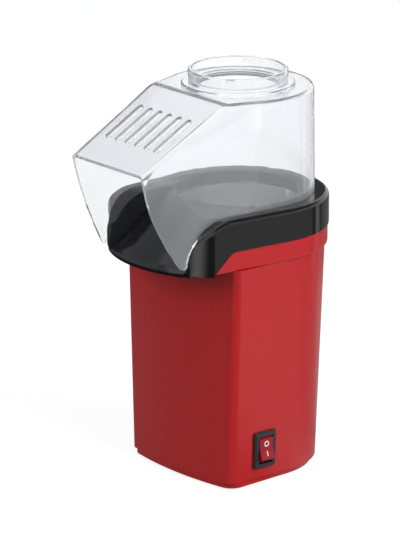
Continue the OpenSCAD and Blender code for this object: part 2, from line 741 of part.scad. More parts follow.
chamber_foot_r = chamber_r - 1.6;
module popping_chamber() on_axis() color(alu) {
    t = chamber_t;
    fz = chamber_flange_z;
    difference() {
        union() {
            rotate_extrude($fn = 96) polygon([
                [0, chamber_floor_z + 3], [9, chamber_floor_z + 3],
                [14, chamber_floor_z + 2.3], [24, chamber_floor_z + 0.8],
                [chamber_foot_r - 5, chamber_floor_z], [chamber_foot_r - 1.5, chamber_floor_z + 1.4],
                [chamber_foot_r, chamber_floor_z + 5],
                [chamber_r, fz], [sleeve_r + 1.4, fz], [sleeve_r + 1.4, fz + t],
                [chamber_r - t, fz + t], [chamber_foot_r - t, chamber_floor_z + 5],
                [chamber_foot_r - 2.2, chamber_floor_z + 2.1], [chamber_foot_r - 5.3, chamber_floor_z + t],
                [24, chamber_floor_z + 0.8 + t], [14, chamber_floor_z + 2.3 + t],
                [9, chamber_floor_z + 3 + t], [0, chamber_floor_z + 3 + t]]);
            at_each(ear_at, fz) cylinder(h = t, r = 3.2);
        }
        for (i = [0 : louvre_count - 1]) rotate([0, 0, i * 360 / louvre_count])
            translate([chamber_foot_r, 0, chamber_floor_z + 11]) rotate([35, 0, 0])
                cube([8, 1.6, 11], center = true);
        at_each(ear_at, fz - e) cylinder(h = 3, r = 1.5, $fn = 24);
        at_each(both(rear_top_post), fz - e) cylinder(h = 3, r = top_post_r + post_gap);
    }
}

module chamber_screws() on_axis() color(steel)
    at_each(ear_at, chamber_flange_z) screw(4.6, r = 1.15, head_r = 2.4, head_h = 1.5);

module heater_sleeve() on_axis() color(steel) {
    difference() {
        translate([0, 0, sleeve_z]) cylinder(h = chamber_flange_z - sleeve_z, r = sleeve_r);
        translate([0, 0, sleeve_z - lap]) cylinder(h = chamber_flange_z, r = sleeve_r - 0.6);
    }
}

board_z = sleeve_z;
board_half = sleeve_r - 4;
board_t = 0.9;
thermo_r = 8;
thermo_h = 10;
tab_h = 5;
thermo_z = chamber_floor_z + 3 - thermo_h;
board_h = thermo_z - tab_h - 5 - board_z;
coil_r = board_half - 4.5;
coil_wire = 1.1;
coil_pitch = 5;
coil_turns = max(1, floor((board_h - 4 + e) / coil_pitch));
coil_z0 = board_z + 4;

// Mica board on edge, with a slot for its partner and round seats for each turn of the coil.
module heater_board(turn, slot_up) {
    rotate([0, 0, turn]) difference() {
        translate([-board_half, -board_t / 2, board_z]) cube([2 * board_half, board_t, board_h]);
        translate([-board_t / 2 - 0.1, -lap, board_z + (slot_up ? board_h / 2 : -lap)])
            cube([board_t + 0.2, 2 * lap, board_h / 2 + lap]);
        for (side = [0, 1], k = [0 : coil_turns])
            let (z = coil_z0 + coil_pitch * (k + (turn + 180 * side) / 360), s = side == 0 ? 1 : -1)
                translate([s * coil_r, lap, z]) rotate([90, 0, 0])
                    cylinder(h = 2 * lap, r = coil_wire + 0.2, $fn = 24);
    }
}
module heater_board_wide() on_axis() color(mica) heater_board(0, true);
module heater_board_deep() on_axis() color(mica) heater_board(90, false);

// Points up a helix, and a round tube swept along a list of points.
coil_sides = 6;
coil_steps = 20;
module heater_coil() on_axis() color(steel) {
    n = coil_turns * coil_steps;
    pts = [for (i = [0 : n]) let (a = 360 * i / coil_steps)
        [coil_r * cos(a), coil_r * sin(a), coil_z0 + coil_pitch * i / coil_steps]];
    tube(pts, coil_wire, coil_sides);
}
function unit(v) = v / norm(v);
module tube(pts, r, sides) {
    n = len(pts);
    rings = [for (i = [0 : n - 1])
        let (d = unit(pts[min(n - 1, i + 1)] - pts[max(0, i - 1)]),
             u = unit(cross(d, abs(d[2]) > 0.9 ? [1, 0, 0] : [0, 0, 1])), w = cross(u, d))
        each [for (k = [0 : sides - 1]) let (a = 360 * k / sides) pts[i] + r * (u * cos(a) + w * sin(a))]];
    faces = concat(
        [[for (k = [0 : sides - 1]) k]],
        [for (i = [0 : n - 2], k = [0 : sides - 1]) let (a = i * sides + k, b = i * sides + (k + 1) % sides)
            each [[a, a + sides, b], [b, a + sides, b + sides]]],
        [[for (k = [sides - 1 : -1 : 0]) (n - 1) * sides + k]]);
    polyhedron(points = rings, faces = faces);
}

module thermostat() on_axis() color(black) {
    translate([0, 0, thermo_z + 6]) cylinder(h = thermo_h - 6, r = thermo_r);
    translate([0, 0, thermo_z]) cylinder(h = 6, r = thermo_r - 0.8);
    for (x = [-4.5, 4.5]) translate([x - 0.4, -2, thermo_z - tab_h]) cube([0.8, 4, tab_h + e]);
}

fuse_z = board_z + board_h - 5;
module thermal_fuse() on_axis() color(steel)
    translate([board_t / 2 + 2, 12, fuse_z]) rotate([-90, 0, 0]) {
        translate([0, 0, -5.5]) cylinder(h = 11, r = 2, $fn = 32);
        translate([0, 0, -11]) cylinder(h = 22, r = 0.5, $fn = 16);
    }

// ---------------------------------------------------------------- fan and motor

fan_wall = 1.8;
module fan_housing() on_axis() color(black) {
    rim_t = 2.4;
    out_r = fan_house_r + fan_wall;
    difference() {
        union() {
            translate([0, 0, deck_z]) cylinder(h = sleeve_z - deck_z - rim_t + e, r = out_r);
            translate([0, 0, sleeve_z - rim_t]) cylinder(h = rim_t, r = sleeve_r + 1.5);
        }
        translate([0, 0, deck_z + deck_t]) cylinder(h = 60, r = fan_house_r);
        translate([0, 0, deck_z - e]) cylinder(h = 10, r = 3.3, $fn = 48);
        for (s = [-1, 1]) translate([s * 8, 0, deck_z - e]) cylinder(h = 10, r = 1.4, $fn = 24);
        at_each(fan_posts, deck_z - e) cylinder(h = 10, r = screw_r + 0.15, $fn = 24);
        // air inlet: a ring of four windows
        translate([0, 0, deck_z - e]) difference() {
            cylinder(h = deck_t + 1, r = 28);
            translate([0, 0, -1]) cylinder(h = deck_t + 3, r = 15.5);
            for (a = [45, 135]) rotate([0, 0, a]) translate([-40, -2.2, -1]) cube([80, 4.4, deck_t + 3]);
        }
    }
}
module housing_screws() on_axis() color(steel)
    at_each(fan_posts, deck_z + deck_t) mirror([0, 0, 1]) screw(13, r = screw_r - 0.25);

impeller_z = deck_z + deck_t + 2.4;
impeller_h = 13;
eye_r = 14;
blade_t = 1.3;
blade_sweep = 50;

// One blade in plan: a strip of even thickness about a line that sweeps back as it runs out.
function blade_line(t, side) =
    let (r = eye_r + (impeller_r - 0.8 - eye_r) * t,
         a = -blade_sweep * t + side * blade_t * 0.64 / r * 180 / PI)
    r * [cos(a), sin(a)];

module impeller() on_axis() color(black) {
    plate_t = 1.4;
    difference() {
        union() {
            translate([0, 0, impeller_z + impeller_h - plate_t]) cylinder(h = plate_t, r = impeller_r);
            translate([0, 0, impeller_z + 3]) cylinder(h = impeller_h - 3 - plate_t / 2, r = 5);
            for (i = [0 : blade_count - 1]) rotate([0, 0, i * 360 / blade_count])
                translate([0, 0, impeller_z]) linear_extrude(impeller_h - plate_t / 2)
                    polygon(concat([for (t = [0 : 0.2 : 1.01]) blade_line(t, -1)],
                                   [for (t = [1 : -0.2 : -0.01]) blade_line(t, 1)]));
        }
        translate([0, 0, impeller_z - 1]) cylinder(h = impeller_h + 3, r = shaft_r + 0.02, $fn = 48);
    }
}

can_t = 0.9;
boss_r = 3.1;
magnet_t = 2.6;
cap_h = 6;
bush_len = 3;
module motor_can() on_axis() color(steel) {
    top = deck_z;
    difference() {
        union() {
            translate([0, 0, motor_z + cap_h]) cylinder(h = top - motor_z - cap_h, r = motor_r);
            translate([0, 0, top - e]) cylinder(h = 2.2, r = boss_r, $fn = 48);
        }
        translate([0, 0, motor_z + cap_h - lap])
            cylinder(h = top - motor_z - cap_h - can_t + lap, r = motor_r - can_t);
        translate([0, 0, top - can_t - lap]) cylinder(h = 6, r = boss_r - 0.9, $fn = 48);
        for (s = [-1, 1]) translate([s * 8, 0, top - 3]) cylinder(h = 5, r = 1.2, $fn = 24);
    }
}
module motor_magnets() on_axis() color([0.3, 0.3, 0.32])
    difference() {
        translate([0, 0, motor_z + cap_h + 3])
            cylinder(h = motor_len - cap_h - 9.8, r = motor_r - can_t - 0.02);
        translate([0, 0, motor_z]) cylinder(h = 2 * motor_len, r = motor_r - can_t - magnet_t);
        translate([-3, -2 * motor_r, motor_z]) cube([6, 4 * motor_r, 2 * motor_len]);
    }
module motor_end_cap() on_axis() color([0.85, 0.83, 0.78])
    difference() {
        union() {
            translate([0, 0, motor_z]) cylinder(h = cap_h, r = motor_r);
            translate([0, 0, motor_z + cap_h - e]) cylinder(h = 1.6, r = motor_r - can_t - 0.02);
        }
        translate([0, 0, motor_z - lap]) cylinder(h = 20, r = boss_r - 0.9, $fn = 48);
        translate([0, 0, motor_z + 4]) cylinder(h = 20, r = 8);
    }
module motor_bushes() on_axis() color(brass)
    for (z = [motor_z + 0.6, deck_z - can_t]) translate([0, 0, z]) difference() {
        cylinder(h = bush_len, r = boss_r - 0.92, $fn = 48);
        translate([0, 0, -1]) cylinder(h = 6, r = shaft_r + 0.05, $fn = 48);
    }
module motor_shaft() on_axis() color(steel)
    translate([0, 0, motor_z + 0.4])
        cylinder(h = impeller_z + impeller_h - motor_z + 1, r = shaft_r, $fn = 48);
module motor_rotor() on_axis() color([0.55, 0.42, 0.28])
    difference() {
        union() {
            translate([0, 0, motor_z + cap_h + 5])
                cylinder(h = motor_len - cap_h - 13.8, r = motor_r - can_t - magnet_t - 1);
            translate([0, 0, motor_z + cap_h + 0.6])
                cylinder(h = motor_len - cap_h - 6.8, r = 3.4, $fn = 48);
        }
        translate([0, 0, motor_z]) cylinder(h = 60, r = shaft_r + 0.02, $fn = 48);
    }
module motor_screws() on_axis() color(steel)
    for (s = [-1, 1]) translate([s * 8, 0, deck_z + deck_t]) mirror([0, 0, 1])
        screw(4.5, r = 1.15, head_r = 2.1, head_h = 1.3);

board_r = motor_r - 1.9;
pcb_t = 1.4;
module rectifier_board() on_axis() color([0.16, 0.36, 0.22])
    difference() {
        translate([0, 0, motor_z - pcb_t]) cylinder(h = pcb_t, r = board_r);
        translate([0, 0, motor_z - 5]) cylinder(h = 10, r = 3, $fn = 48);
    }
module rectifier_diodes() on_axis() color([0.15, 0.15, 0.16])
    for (x = [-7.5, 7.5], y = [-3.2, 3.2]) translate([x, y, motor_z - pcb_t - 1.35]) rotate([0, 90, 0])
        translate([0, 0, -2.6]) cylinder(h = 5.2, r = 1.35, $fn = 32);

// ---------------------------------------------------------------- switch and cord bush

module bezel_slice(inset, depth) {
    for (y = [-1, 1], z = [-1, 1])
        translate([0, y * (switch_w / 2 - bezel_r), z * (switch_h / 2 - bezel_r)])
            rotate([0, 90, 0]) cylinder(h = depth, r = bezel_r - inset, $fn = 16);
}

module switch_housing() on_axis() color(black) on_switch() difference() {
    union() {
        hull() {
            bezel_slice(0, bezel_t - bezel_bevel);
            bezel_slice(bezel_bevel, bezel_t);
        }
        translate([-switch_depth, -switch_box_w / 2, -switch_box_h / 2])
            cube([switch_depth + 0.3, switch_box_w, switch_box_h]);
    }
    translate([-switch_depth + 2.5, -rocker_w / 2 - rocker_slot_gap, -rocker_h / 2 - rocker_slot_gap])
        cube([40, rocker_w + 2 * rocker_slot_gap, rocker_h + 2 * rocker_slot_gap]);
    translate([-pivot_in, -switch_box_w, 0]) rotate([-90, 0, 0])
        cylinder(h = 2 * switch_box_w, r = pivot_r + 0.05, $fn = 48);
}

// Rocker: a shallow V outside, round ends about its pivot, and a leg inside.
module switch_rocker() on_axis() color(body_red) on_switch()
    translate([-pivot_in, 0, 0]) rotate([0, -rocker_turn / 2, 0]) {
        face = bezel_t + pivot_in;
        intersection() {
            rotate([90, 0, 0]) translate([0, 0, -rocker_w / 2]) linear_extrude(rocker_w)
                polygon([[-3.5, -rocker_h / 2], [face + 1.9, -rocker_h / 2], [face + 0.5, 0],
                         [face + 1.9, rocker_h / 2], [-3.5, rocker_h / 2]]);
            rotate([90, 0, 0]) cylinder(h = rocker_w + 4, r = rocker_h / 2, center = true, $fn = 96);
        }
        rotate([90, 0, 0]) cylinder(h = switch_box_w - 0.4, r = pivot_r, center = true, $fn = 48);
    }

module switch_terminals() on_axis() color(brass) on_switch()
    for (z = [-4.5, 4.5]) translate([-switch_depth - 7, -3.1, z - 0.4]) cube([7, 6.2, 0.8]);

// The bush's neck is square, so that the cord can't turn it.
module square_rod(half, z, h) {
    translate([-half, -half, z]) cube([2 * half, 2 * half, h]);
}

module cord_bush() on_axis() color(rubber_black)
    translate([0, body_r_at(bush_z), bush_z]) rotate([-90, 0, 0]) difference() {
        union() {
            translate([0, 0, 0.35]) cylinder(h = 2.2, r = 7.4);
            square_rod(bush_half, -body_wall - 3, body_wall + 4);
            square_rod(bush_half + 1.4, -body_wall - 3, 2);
        }
        translate([0, 0, -20]) cylinder(h = 40, r = cord_bore_r);
    }

body_shell();
upper_band();
collar();
hood();
base_plate();
rubber_feet();
base_screws();
collar_screws();
popping_chamber();
chamber_screws();
heater_sleeve();
heater_board_wide();
heater_board_deep();
heater_coil();
thermostat();
thermal_fuse();
fan_housing();
housing_screws();
impeller();
motor_can();
motor_magnets();
motor_end_cap();
motor_bushes();
motor_rotor();
motor_shaft();
motor_screws();
rectifier_board();
rectifier_diodes();
switch_housing();
switch_rocker();
switch_terminals();
cord_bush();
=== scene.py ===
# %% [markdown]
# # A hot-air popcorn maker, dressed for its portrait
# The mechanical model gives every piece its true size and place.  This notebook loads it as a
# fixed frame, sets a camera and soft lights round it, and then gives each piece the surface
# and finish of the real one: gloss red and black plastic, a clear hood, spun metal inside.

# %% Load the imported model
import math

import bmesh
import bpy
import numpy as np
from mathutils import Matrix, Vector


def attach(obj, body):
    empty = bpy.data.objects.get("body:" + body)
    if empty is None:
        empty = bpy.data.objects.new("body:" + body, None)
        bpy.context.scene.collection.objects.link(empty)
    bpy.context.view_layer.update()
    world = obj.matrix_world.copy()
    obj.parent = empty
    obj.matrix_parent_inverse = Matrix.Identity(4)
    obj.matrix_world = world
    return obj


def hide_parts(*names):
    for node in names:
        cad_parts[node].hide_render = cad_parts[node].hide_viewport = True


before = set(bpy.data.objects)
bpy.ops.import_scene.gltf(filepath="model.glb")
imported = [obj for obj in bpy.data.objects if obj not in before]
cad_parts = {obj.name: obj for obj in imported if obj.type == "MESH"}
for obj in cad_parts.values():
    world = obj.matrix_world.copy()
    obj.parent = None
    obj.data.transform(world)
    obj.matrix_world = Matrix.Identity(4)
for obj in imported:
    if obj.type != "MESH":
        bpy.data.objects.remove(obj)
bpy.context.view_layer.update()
scene = bpy.context.scene

# %% [markdown]
# ## Camera
# The tower stands at three quarters: the side with the switch faces the light, the spout points
# to the left.  A long lens from almost three metres keeps the upright edges nearly parallel, as
# a catalogue picture does.  The camera comes first, so every later choice can be judged by it.

# %% Place the camera
AZIMUTH, ELEVATION, DISTANCE = math.radians(50.61), math.radians(16.84), 2.84485
AIM = Vector((0.0, -0.00792, 0.1312))
LENS, SENSOR_WIDTH, FARTHEST = 293.88, 36, 60
SHIFT = (0.00134, 0.00114)


def direction(azimuth, elevation):
    """Unit vector from angles in radians; azimuth 0 is the front, -Y, a quarter turn is +X."""
    return Vector((math.sin(azimuth) * math.cos(elevation),
                   -math.cos(azimuth) * math.cos(elevation), math.sin(elevation)))


def look_at(location, target):
    """Rotation that points an object's -Z axis along target - location, with Y upwards."""
    return (target - location).to_track_quat("-Z", "Y").to_euler()


camera_data = bpy.data.cameras.new("camera")
camera_data.lens, camera_data.sensor_width = LENS, SENSOR_WIDTH
camera_data.shift_x, camera_data.shift_y = SHIFT
camera_data.clip_end = FARTHEST
camera = bpy.data.objects.new("camera", camera_data)
camera.location = AIM + DISTANCE * direction(AZIMUTH, ELEVATION)
camera.rotation_euler = look_at(camera.location, AIM)
scene.collection.objects.link(camera)
scene.camera = camera
print("camera at", [round(v, 3) for v in camera.location])

# %% [markdown]
# ## Helpers
# Meshes and node trees are built in the same few steps all through the notebook, so those
# steps are written once here: a mesh object from points and faces, an emptied material, one
# node with its settings, and a test that tells what is looked at from what merely gives light.

# %% Write the helpers
def mesh_object(name, points, faces, material):
    """Object in the scene from points, as rows of x, y, z, and faces, with one material."""
    mesh = bpy.data.meshes.new(name)
    mesh.from_pydata(np.asarray(points, float).reshape(-1, 3).tolist(), [], faces)
    mesh.materials.append(material)
    made = bpy.data.objects.new(name, mesh)
    scene.collection.objects.link(made)
    return made


def add_node(nt, kind, operation=None, **values):
    """New shader node of a kind such as Math; values set inputs, with _ for a space."""
    node = nt.nodes.new("ShaderNode" + kind)
    if operation:
        node.operation = operation
    for name, value in values.items():
        node.inputs[name.replace("_", " ")].default_value = value
    return node


def blank_material(name):
    """Material with nothing but an output in its tree; returns it, the tree and the output."""
    mat = bpy.data.materials.new(name)
    mat.use_nodes = True
    mat.node_tree.nodes.clear()
    return mat, mat.node_tree, add_node(mat.node_tree, "OutputMaterial")


def grey(level):
    """Opaque colour with the same level in red, green and blue."""
    return level, level, level, 1


def looked_at(nt):
    """Largest of three flags: 1 for camera, mirror and see-through rays, 0 for other light."""
    path = add_node(nt, "LightPath")
    value = path.outputs["Is Camera Ray"]
    for kind in ("Is Glossy Ray", "Is Transmission Ray"):
        larger = add_node(nt, "Math", "MAXIMUM")
        nt.links.new(value, larger.inputs[0])
        nt.links.new(path.outputs[kind], larger.inputs[1])
        value = larger.outputs[0]
    return value


def hide_from(thing, *kinds):
    """Keeps an object out of the sight of the named kinds of rays."""
    for kind in kinds:
        setattr(thing, "visible_" + kind, False)


print("helpers ready")

# %% [markdown]
# ## Light
# Catalogue light is a bright tent: white all round, one large soft lamp on the switch's side, a
# weak one from the front left.  The world gives the tent.  What the camera sees directly,
# mirrored or through the clear hood is plain white, while the light that falls on the object
# is set apart from that, so that colours come out about as they are written.

# %% Set the world and the lamps
AMBIENT = 0.34
DAYLIGHT = (0.97, 0.985, 1.0, 1)
TOWER_MIDDLE = Vector((0, 0, 0.13))


def make_world():
    """World: white for camera, mirror and see-through rays, AMBIENT grey for all other light."""
    world = bpy.data.worlds.new("tent")
    scene.world = world
    world.use_nodes = True
    nt = world.node_tree
    nt.nodes.clear()
    out, mix = add_node(nt, "OutputWorld"), add_node(nt, "MixShader")
    fill = add_node(nt, "Background", Color=DAYLIGHT, Strength=AMBIENT)
    white = add_node(nt, "Background", Color=grey(1), Strength=1.0)
    nt.links.new(looked_at(nt), mix.inputs["Fac"])
    nt.links.new(fill.outputs[0], mix.inputs[1])
    nt.links.new(white.outputs[0], mix.inputs[2])
    nt.links.new(mix.outputs[0], out.inputs["Surface"])


def soft_lamp(name, azimuth, elevation, distance, size, watts):
    """Square area lamp at angles in degrees and a distance from the tower's middle, facing it."""
    data = bpy.data.lights.new(name, "AREA")
    data.shape, data.size, data.energy = "SQUARE", size, watts
    lamp = bpy.data.objects.new(name, data)
    lamp.location = TOWER_MIDDLE + distance * direction(math.radians(azimuth),
                                                        math.radians(elevation))
    lamp.rotation_euler = look_at(lamp.location, TOWER_MIDDLE)
    hide_from(lamp, "glossy")
    scene.collection.objects.link(lamp)


make_world()
soft_lamp("key", 100, 34, distance=1.6, size=0.9, watts=22)
soft_lamp("fill", -10, 30, distance=2.0, size=1.0, watts=12)
scene.view_settings.view_transform = "Standard"

# %% [markdown]
# ## Floor
# The floor is a wide white sheet.  A lit sheet is never quite as white as the tent behind it, so
# it adds a little light of its own for the rays that see it; where the tower keeps the lamps
# off, that part is missing and a soft shadow stays.

# %% Lay the floor
FLOOR_GLOW, PAPER_LEVEL, FLOOR_HALF = 0.82, 0.35, 16.0


def make_floor():
    """Flat square sheet at z = 0, white diffuse plus a glow for camera, mirror and glass rays."""
    mat, nt, out = blank_material("floor_paper")
    add = add_node(nt, "AddShader")
    paper = add_node(nt, "BsdfDiffuse", Color=grey(PAPER_LEVEL))
    glow = add_node(nt, "Emission")
    level = add_node(nt, "Math", "MULTIPLY")
    level.inputs[1].default_value = FLOOR_GLOW
    nt.links.new(looked_at(nt), level.inputs[0])
    nt.links.new(level.outputs[0], glow.inputs["Strength"])
    nt.links.new(paper.outputs[0], add.inputs[0])
    nt.links.new(glow.outputs[0], add.inputs[1])
    nt.links.new(add.outputs[0], out.inputs["Surface"])
    corners = FLOOR_HALF * np.array([[-1, -1, 0], [1, -1, 0], [1, 1, 0], [-1, 1, 0]])
    mesh_object("floor", corners, [(0, 1, 2, 3)], mat)


make_floor()
print("floor laid")

# %% [markdown]
# ## The mirror card: painted reflections
# A glossy wall shows whatever stands opposite it.  In an all-white room every wall would carry
# the same pale veil, so the reflections are painted: a glowing disc on the floor paints dark
# reflections where a wall should look deep, and painted highlights where one should run down a
# corner.  Seen from above, an upright wall mirrors the floor round it: the red body the floor
# close by, the black collar the floor farther out, and the direction turns twice as fast as the
# wall does.  One round disc does the lot, with a grey for each direction in two zones.  Only
# mirror rays see it.

# %% Lay the mirror card
# Azimuth in degrees and the grey of the painted reflection there, for the inner and the outer
# zone; the outer stops at 16 to 20 and 164 to 169 degrees are painted highlights on the collar.
NEAR_REFLECTION_GREYS = [(-180, 0.5), (-110, 0.25), (100, 0.22), (116, 0.72), (132, 0.72), (148, 0.36),
              (180, 0.3)]
FAR_REFLECTION_GREYS = [(-180, 0.25), (-110, 0.05), (6, 0.03), (12, 0.05), (16, 1.7), (20, 1.7),
             (25, 0.05), (40, 0.02), (82, 0.02), (102, 0.42), (121, 0.5), (132, 0.42),
             (155, 0.3), (157, 0.03), (161, 0.03), (164, 0.7), (169, 0.7), (173, 0.1),
             (180, 0.2)]
CARD_RADIUS, CARD_LIFT, CARD_SIDES = 1.5, 0.001, 96
ZONE_BORDER, ZONE_BLUR = 0.45, 0.04


def azimuth_greys(nt, turn, stops):
    """Colour ramp over the azimuth: stops are (azimuth in degrees, grey), linear in between."""
    ramp = add_node(nt, "ValToRGB")
    steps = ramp.color_ramp.elements
    for i, (azimuth, level) in enumerate(stops):
        spot = (azimuth + 180) / 360
        step = steps[i] if i < 2 else steps.new(spot)
        step.position, step.color = spot, grey(level)
    nt.links.new(turn, ramp.inputs["Fac"])
    return ramp.outputs["Color"]


def lay_painted_reflection_card(near, far):
    """Glowing disc on the floor that paints reflections for mirror rays alone; its grey follows
    atan2(x, -y) and its zone the distance from the middle, with the near and far stops."""
    mat, nt, out = blank_material("painted_reflection_card")
    place, part = add_node(nt, "TexCoord"), add_node(nt, "SeparateXYZ")
    forward = add_node(nt, "Math", "MULTIPLY")
    forward.inputs[1].default_value = -1
    angle = add_node(nt, "Math", "ARCTAN2")
    turn = add_node(nt, "MapRange", From_Min=-np.pi, From_Max=np.pi)
    length = add_node(nt, "VectorMath", "LENGTH")
    zone = add_node(nt, "MapRange", From_Min=ZONE_BORDER - ZONE_BLUR,
                    From_Max=ZONE_BORDER + ZONE_BLUR)
    mix = add_node(nt, "Mix")
    mix.data_type = "RGBA"
    # The painted reflection: an emission of the ramp's grey, seen by mirror rays alone.
    glow = add_node(nt, "Emission")
    nt.links.new(place.outputs["Object"], part.inputs[0])
    nt.links.new(part.outputs["Y"], forward.inputs[0])
    nt.links.new(part.outputs["X"], angle.inputs[0])
    nt.links.new(forward.outputs[0], angle.inputs[1])
    nt.links.new(angle.outputs[0], turn.inputs["Value"])
    nt.links.new(place.outputs["Object"], length.inputs[0])
    nt.links.new(length.outputs["Value"], zone.inputs["Value"])
    nt.links.new(zone.outputs["Result"], mix.inputs["Factor"])
    nt.links.new(azimuth_greys(nt, turn.outputs["Result"], near), mix.inputs["A"])
    nt.links.new(azimuth_greys(nt, turn.outputs["Result"], far), mix.inputs["B"])
    nt.links.new(mix.outputs["Result"], glow.inputs["Color"])
    nt.links.new(glow.outputs[0], out.inputs["Surface"])
    a = np.linspace(0, 2 * np.pi, CARD_SIDES, endpoint=False)
    rim = np.stack([CARD_RADIUS * np.sin(a), CARD_RADIUS * np.cos(a),
                    np.full(CARD_SIDES, CARD_LIFT)], 1)
    plate = mesh_object("painted_reflection_card", rim, [tuple(range(CARD_SIDES))[::-1]], mat)
    hide_from(plate, "camera", "diffuse", "transmission", "shadow", "volume_scatter")


lay_painted_reflection_card(NEAR_REFLECTION_GREYS, FAR_REFLECTION_GREYS)
print("mirror card laid, stops:", len(NEAR_REFLECTION_GREYS), len(FAR_REFLECTION_GREYS))

# %% [markdown]
# ## Dark flags: painted dark reflections
# The collar's flat top leans away from the viewer, so it mirrors the tent low down on the far
# side and would look grey, and its rounded edge mirrors the tent overhead.  Four dark strips of
# painted reflection, upright close round the tower, keep both black: two behind it for the flat
# part and the bend, one for the part that sweeps down to the lip, and a tall one on the switch's
# side for the rounded edge.  They leave room for the hood's own top to mirror the white tent
# above them.  Only rays that have been mirrored at least once see them, also after they have
# passed through the hood.

# %% Hang the dark flags
# Azimuths in degrees, heights in metres, and the grey of each painted dark reflection.
DARK_REFLECTIONS = {
    "top_dark_reflection": ((-152, -120.5), (0.205, 0.315), 0.10),
    "bend_dark_reflection": ((-120.5, -56), (0.205, 0.62), 0.24),
    "lip_dark_reflection": ((-62, -28), (0.22, 0.40), 0.10),
    "side_dark_reflection": ((60, 175), (0.27, 0.85), 0.10),
}
FLAG_DISTANCE, FLAG_COLUMNS = 0.30, 16


def hang_dark_reflection(name, azimuths, heights, level):
    """Patch of an upright cylinder: even columns between two azimuths, two rings of points,
    glowing grey for mirrored rays alone: a painted dark reflection.
    """
    a = np.radians(np.linspace(*azimuths, FLAG_COLUMNS))
    ring = np.stack([FLAG_DISTANCE * np.sin(a), -FLAG_DISTANCE * np.cos(a)], 1)
    points = [np.column_stack([ring, np.full(FLAG_COLUMNS, z)]) for z in heights]
    i = np.arange(FLAG_COLUMNS - 1)
    quads = np.stack([i, i + 1, i + 1 + FLAG_COLUMNS, i + FLAG_COLUMNS], 1).tolist()
    mat, nt, out = blank_material(name)
    path, unseen = add_node(nt, "LightPath"), add_node(nt, "BsdfTransparent")
    mirrored = add_node(nt, "Math", "GREATER_THAN")
    mirrored.inputs[1].default_value = 0.5
    # Painted dark reflection: a grey emission that only mirrored rays see.
    dark = add_node(nt, "Emission", Color=grey(level))
    mix = add_node(nt, "MixShader")
    nt.links.new(path.outputs["Glossy Depth"], mirrored.inputs[0])
    nt.links.new(mirrored.outputs[0], mix.inputs["Fac"])
    nt.links.new(unseen.outputs[0], mix.inputs[1])
    nt.links.new(dark.outputs[0], mix.inputs[2])
    nt.links.new(mix.outputs[0], out.inputs["Surface"])
    reflection_sheet = mesh_object(name, points, quads, mat)
    hide_from(reflection_sheet, "camera", "diffuse", "shadow", "volume_scatter")


for flag_name, (flag_azimuths, flag_heights, reflection_grey) in DARK_REFLECTIONS.items():
    hang_dark_reflection(flag_name, flag_azimuths, flag_heights, reflection_grey)
print("flags hung:", list(DARK_REFLECTIONS))

# %% [markdown]
# ## Finishes
# Moulded plastic is never one flat colour: pigment drifts a little over a hand's width, the
# tool's polish leaves faint ripples, and handling varies the gloss.  One recipe makes all the
# opaque finishes from three noises in object space: a wide one for colour, a middle one for
# roughness and a fine one for the bump.  The settings say how strong each is.

# %% Make the opaque finishes
NOISE_LOW, NOISE_HIGH = 0.3, 0.7
GLOSS_FINER = 5
RIPPLE_DEPTH = 0.00005


def finish(name, colour, spread=0.05, rough=0.3, rough_spread=0.06, wide=14, grain=900,
           bump=0.05, metallic=0.0, stretch=(1, 1, 1), specular=0.5):
    """Principled material; colour * (1 +- spread) by a wide noise, rough +- rough_spread by one
    GLOSS_FINER times finer, bump by the grain; stretch squeezes them all for brushed metal."""
    mat = bpy.data.materials.new(name)
    mat.use_nodes = True
    nt = mat.node_tree
    shader = nt.nodes["Principled BSDF"]
    coords, mapping = add_node(nt, "TexCoord"), add_node(nt, "Mapping", Scale=stretch)
    nt.links.new(coords.outputs["Object"], mapping.inputs["Vector"])

    def noise(scale, detail):
        """Layered noise over the object's own space, squeezed by the mapping."""
        cloud = add_node(nt, "TexNoise", Scale=scale, Detail=detail)
        nt.links.new(mapping.outputs["Vector"], cloud.inputs["Vector"])
        return cloud.outputs["Fac"]

    ramp = add_node(nt, "ValToRGB")
    low, high = ramp.color_ramp.elements
    c = np.asarray(colour, float)
    low.position, high.position = NOISE_LOW, NOISE_HIGH
    low.color = (*(c * (1 - spread)), 1)
    high.color = (*np.minimum(c * (1 + spread), 1), 1)
    nt.links.new(noise(wide, 3), ramp.inputs["Fac"])
    nt.links.new(ramp.outputs["Color"], shader.inputs["Base Color"])
    span = add_node(nt, "MapRange", From_Min=NOISE_LOW, From_Max=NOISE_HIGH,
                    To_Min=rough - rough_spread, To_Max=rough + rough_spread)
    nt.links.new(noise(wide * GLOSS_FINER, 2), span.inputs["Value"])
    nt.links.new(span.outputs["Result"], shader.inputs["Roughness"])
    relief = add_node(nt, "Bump", Strength=bump, Distance=RIPPLE_DEPTH)
    nt.links.new(noise(grain, 2), relief.inputs["Height"])
    nt.links.new(relief.outputs["Normal"], shader.inputs["Normal"])
    shader.inputs["Metallic"].default_value = metallic
    shader.inputs["Specular IOR Level"].default_value = specular
    return mat


